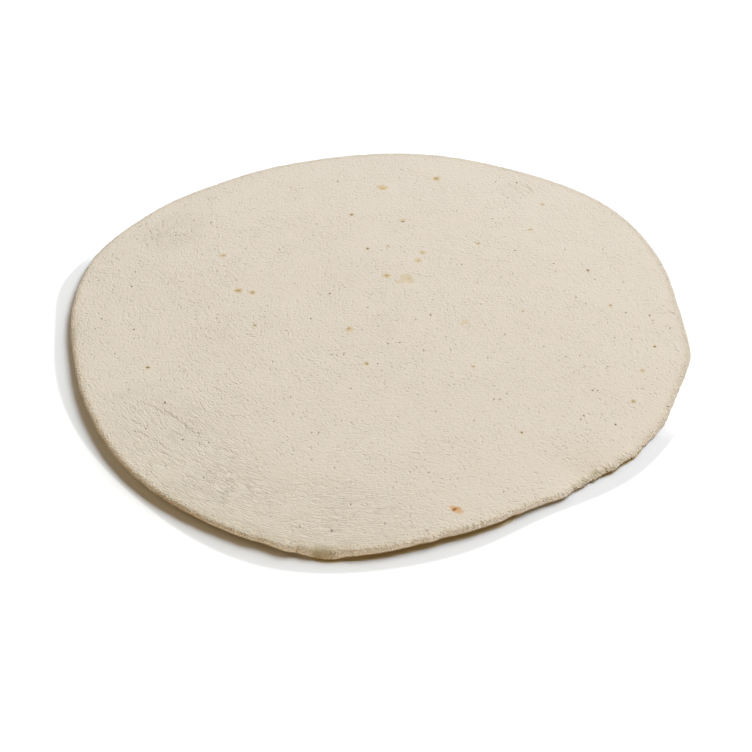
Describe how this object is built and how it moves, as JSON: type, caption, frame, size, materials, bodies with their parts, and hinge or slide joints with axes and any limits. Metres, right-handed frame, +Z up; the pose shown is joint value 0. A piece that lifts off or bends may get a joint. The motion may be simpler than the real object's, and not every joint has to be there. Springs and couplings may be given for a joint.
{
  "type": "pizza base",
  "caption": "Thin round par-baked bread base, pale cream and slightly out of round, with a soft rounded rim, fine wrinkles and a few toasted flecks, ready for toppings.",
  "frame": {"origin": "middle of the bounding box's floor, on the surface that the base lies on", "axes": "+Z up out of the face for toppings, +X to the right and +Y away from the viewer in the picture's view"},
  "size_m": [0.3038, 0.3072, 0.0058],
  "materials": {
    "dough": null
  },
  "bodies": {
    "root": {"pizza_base": "dough"}
  },
  "joints": []
}
